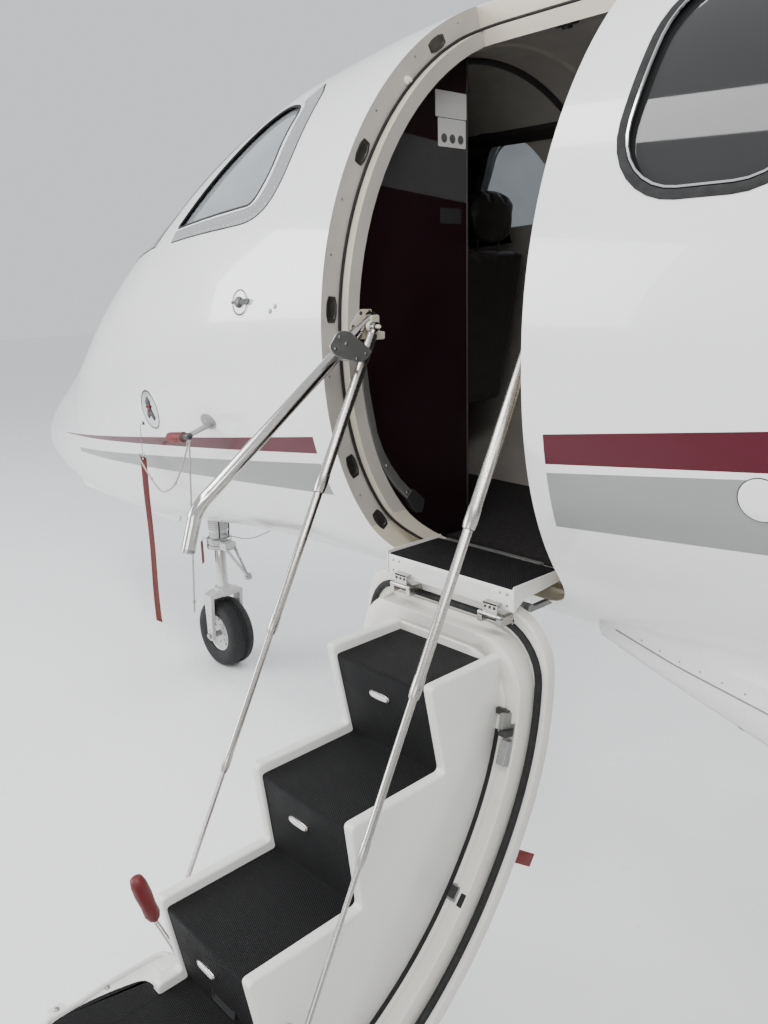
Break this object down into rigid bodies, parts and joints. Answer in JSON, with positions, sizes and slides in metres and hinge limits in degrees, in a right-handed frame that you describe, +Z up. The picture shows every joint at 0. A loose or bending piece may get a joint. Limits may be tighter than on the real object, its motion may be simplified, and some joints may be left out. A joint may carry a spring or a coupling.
{
  "type": "business jet",
  "caption": "Light business jet parked on its wheels, low wing and T-tail, with a hinged airstair door let down on telescopic stays beside its cockpit.",
  "frame": {"origin": "on the ground, at the middle of the overall length and on the centre plane", "axes": "+X to the nose, +Y to the aircraft's left, +Z up"},
  "size_m": [12.82, 12.3, 4.35],
  "materials": {
    "paint": "gloss white paint with maroon and grey stripes",
    "door_paint": "satin off-white paint",
    "stair": "white walls with black ribbed treads",
    "glazing": "dark tinted",
    "carpet": "dark carpet",
    "panel": "dark maroon gloss",
    "leather": "dark leather",
    "streamer": "faded red cloth",
    "cord": "white braid",
    "fan_metal": "bare metal",
    "gear_paint": "light grey paint",
    "tyre": "black rubber",
    "stay_metal": "polished steel",
    "rail_chrome": "polished"
  },
  "bodies": {
    "airframe": {"nose_cone": "paint", "cockpit_shell": "paint", "cabin_shell": "paint", "tail_shell": "paint", "windshield_left": "glazing", "windshield_right": "glazing", "cockpit_window_left": "glazing", "cockpit_window_right": "glazing", "cabin_window_left_1": "glazing", "cabin_window_left_2": "glazing", "cabin_window_left_3": "glazing", "cabin_window_right_1": "glazing", "cabin_window_right_2": "glazing", "cabin_window_right_3": "glazing", "cabin_floor": "carpet", "entry_bulkhead": "panel", "pilot_seat": "leather", "copilot_seat": "leather", "cabin_seats_left": "leather", "cabin_seats_right": "leather", "belly_fairing": "paint", "wing_left": "paint", "wing_right": "paint", "fin": "paint", "tailplane": "paint", "nacelle_left": "paint", "nacelle_right": "paint", "cover_streamer": "streamer", "cover_lanyard": "cord", "probe_cord": "cord", "nose_leg": "gear_paint", "nose_gear_door_left": "paint", "nose_gear_door_right": "paint", "main_leg_left": "gear_paint", "main_leg_right": "gear_paint"},
    "airstair": {"airstair_door": "door_paint", "stair_flight": "stair"},
    "sill_step": {"sill_step": "door_paint"},
    "handrail": {"handrail": "rail_chrome"},
    "stay_fore_1": {"stay_fore_1": "stay_metal"},
    "stay_fore_2": {"stay_fore_2": "stay_metal"},
    "stay_fore_3": {"stay_fore_3": "stay_metal"},
    "stay_fore_4": {"stay_fore_4": "stay_metal"},
    "stay_aft_1": {"stay_aft_1": "stay_metal"},
    "stay_aft_2": {"stay_aft_2": "stay_metal"},
    "stay_aft_3": {"stay_aft_3": "stay_metal"},
    "stay_aft_4": {"stay_aft_4": "stay_metal"},
    "baggage_hatch": {"baggage_hatch": "paint"},
    "nose_steer": {"nose_fork": "gear_paint"},
    "nose_wheel": {"nose_wheel": "tyre"},
    "main_wheel_left": {"main_wheel_left": "tyre"},
    "main_wheel_right": {"main_wheel_right": "tyre"},
    "fan_left": {"fan_left": "fan_metal"},
    "fan_right": {"fan_right": "fan_metal"},
    "flap_left": {"flap_left": "paint"},
    "flap_right": {"flap_right": "paint"},
    "aileron_left": {"aileron_left": "paint"},
    "aileron_right": {"aileron_right": "paint"},
    "rudder": {"rudder": "paint"},
    "elevator": {"elevator": "paint"}
  },
  "joints": [
    {"name": "airstair_hinge", "type": "hinge", "parent": "airframe", "child": "airstair", "pos_m": [2.189, 0.7, 1.2], "axis": [1, 0, 0], "range_deg": [0, 144.5]},
    {"name": "sill_step_hinge", "type": "hinge", "parent": "airstair", "child": "sill_step", "pos_m": [2.189, 0.826, 1.212], "axis": [1, 0, 0], "range_deg": [-144.5, 0]},
    {"name": "handrail_pivot", "type": "hinge", "parent": "airframe", "child": "handrail", "pos_m": [2.455, 0.765, 1.895], "axis": [1, 0, 0], "range_deg": [0, 164]},
    {"name": "stay_fore_pivot", "type": "hinge", "parent": "airframe", "child": "stay_fore_1", "pos_m": [2.42, 0.785, 1.872], "axis": [1, 0, 0], "range_deg": [0, 195.27]},
    {"name": "stay_fore_slide_1", "type": "slide", "parent": "stay_fore_1", "child": "stay_fore_2", "axis": [0, -0.4635, 0.8861], "range_m": [0, 0.35124]},
    {"name": "stay_fore_slide_2", "type": "slide", "parent": "stay_fore_2", "child": "stay_fore_3", "axis": [0, -0.4635, 0.8861], "range_m": [0, 0.35124]},
    {"name": "stay_fore_slide_3", "type": "slide", "parent": "stay_fore_3", "child": "stay_fore_4", "axis": [0, -0.4635, 0.8861], "range_m": [0, 0.35124]},
    {"name": "stay_aft_pivot", "type": "hinge", "parent": "airframe", "child": "stay_aft_1", "pos_m": [1.92, 0.785, 1.872], "axis": [1, 0, 0], "range_deg": [0, 195.27]},
    {"name": "stay_aft_slide_1", "type": "slide", "parent": "stay_aft_1", "child": "stay_aft_2", "axis": [0, -0.4635, 0.8861], "range_m": [0, 0.35124]},
    {"name": "stay_aft_slide_2", "type": "slide", "parent": "stay_aft_2", "child": "stay_aft_3", "axis": [0, -0.4635, 0.8861], "range_m": [0, 0.35124]},
    {"name": "stay_aft_slide_3", "type": "slide", "parent": "stay_aft_3", "child": "stay_aft_4", "axis": [0, -0.4635, 0.8861], "range_m": [0, 0.35124]},
    {"name": "baggage_hatch_hinge", "type": "hinge", "parent": "airframe", "child": "baggage_hatch", "pos_m": [-1.59, 0.81719, 2.016], "axis": [0.9945, 0.1051, 0], "range_deg": [0, 70]},
    {"name": "nose_steer", "type": "hinge", "parent": "airframe", "child": "nose_steer", "pos_m": [4.54, 0, 0.55], "axis": [0, 0, 1], "range_deg": [-20, 20]},
    {"name": "nose_wheel_axle", "type": "hinge", "parent": "nose_steer", "child": "nose_wheel", "pos_m": [4.54, 0, 0.184], "axis": [0, 1, 0], "continuous": true},
    {"name": "main_wheel_left_axle", "type": "hinge", "parent": "airframe", "child": "main_wheel_left", "pos_m": [-0.54, 1.775, 0.229], "axis": [0, 1, 0], "continuous": true},
    {"name": "main_wheel_right_axle", "type": "hinge", "parent": "airframe", "child": "main_wheel_right", "pos_m": [-0.54, -1.775, 0.229], "axis": [0, 1, 0], "continuous": true},
    {"name": "fan_left_shaft", "type": "hinge", "parent": "airframe", "child": "fan_left", "pos_m": [-1.37, 1.19, 2.33], "axis": [1, 0, 0], "continuous": true},
    {"name": "fan_right_shaft", "type": "hinge", "parent": "airframe", "child": "fan_right", "pos_m": [-1.37, -1.19, 2.33], "axis": [1, 0, 0], "continuous": true},
    {"name": "flap_left_hinge", "type": "hinge", "parent": "airframe", "child": "flap_left", "pos_m": [-0.60199, 2.25, 1.09974], "axis": [-0.0046, -0.9978, -0.0661], "range_deg": [0, 36]},
    {"name": "flap_right_hinge", "type": "hinge", "parent": "airframe", "child": "flap_right", "pos_m": [-0.60199, -2.25, 1.09974], "axis": [0.0046, -0.9978, 0.0661], "range_deg": [0, 36]},
    {"name": "aileron_left_hinge", "type": "hinge", "parent": "airframe", "child": "aileron_left", "pos_m": [-0.59022, 4.79, 1.26791], "axis": [-0.0046, -0.9978, -0.066], "range_deg": [-20, 20]},
    {"name": "aileron_right_hinge", "type": "hinge", "parent": "airframe", "child": "aileron_right", "pos_m": [-0.59022, -4.79, 1.26791], "axis": [0.0046, -0.9978, 0.066], "range_deg": [-20, 20]},
    {"name": "rudder_hinge", "type": "hinge", "parent": "airframe", "child": "rudder", "pos_m": [-5.14696, 0, 3.38], "axis": [-0.5672, 0, 0.8236], "range_deg": [-25, 25]},
    {"name": "elevator_hinge", "type": "hinge", "parent": "airframe", "child": "elevator", "pos_m": [-6.01, 0, 4.25], "axis": [0, -1, 0], "range_deg": [-20, 15]}
  ],
  "couplings": [
    {"joint": "sill_step_hinge", "follows": "airstair_hinge", "ratio": -1},
    {"joint": "handrail_pivot", "follows": "airstair_hinge", "ratio": 1.1349},
    {"joint": "stay_fore_pivot", "follows": "airstair_hinge", "ratio": 1.3513},
    {"joint": "stay_fore_slide_1", "follows": "airstair_hinge", "m_per_rad": 0.13927},
    {"joint": "stay_fore_slide_2", "follows": "airstair_hinge", "m_per_rad": 0.13927},
    {"joint": "stay_fore_slide_3", "follows": "airstair_hinge", "m_per_rad": 0.13927},
    {"joint": "stay_aft_pivot", "follows": "airstair_hinge", "ratio": 1.3513},
    {"joint": "stay_aft_slide_1", "follows": "airstair_hinge", "m_per_rad": 0.13927},
    {"joint": "stay_aft_slide_2", "follows": "airstair_hinge", "m_per_rad": 0.13927},
    {"joint": "stay_aft_slide_3", "follows": "airstair_hinge", "m_per_rad": 0.13927},
    {"joint": "flap_right_hinge", "follows": "flap_left_hinge", "ratio": 1},
    {"joint": "aileron_right_hinge", "follows": "aileron_left_hinge", "ratio": -1}
  ]
}
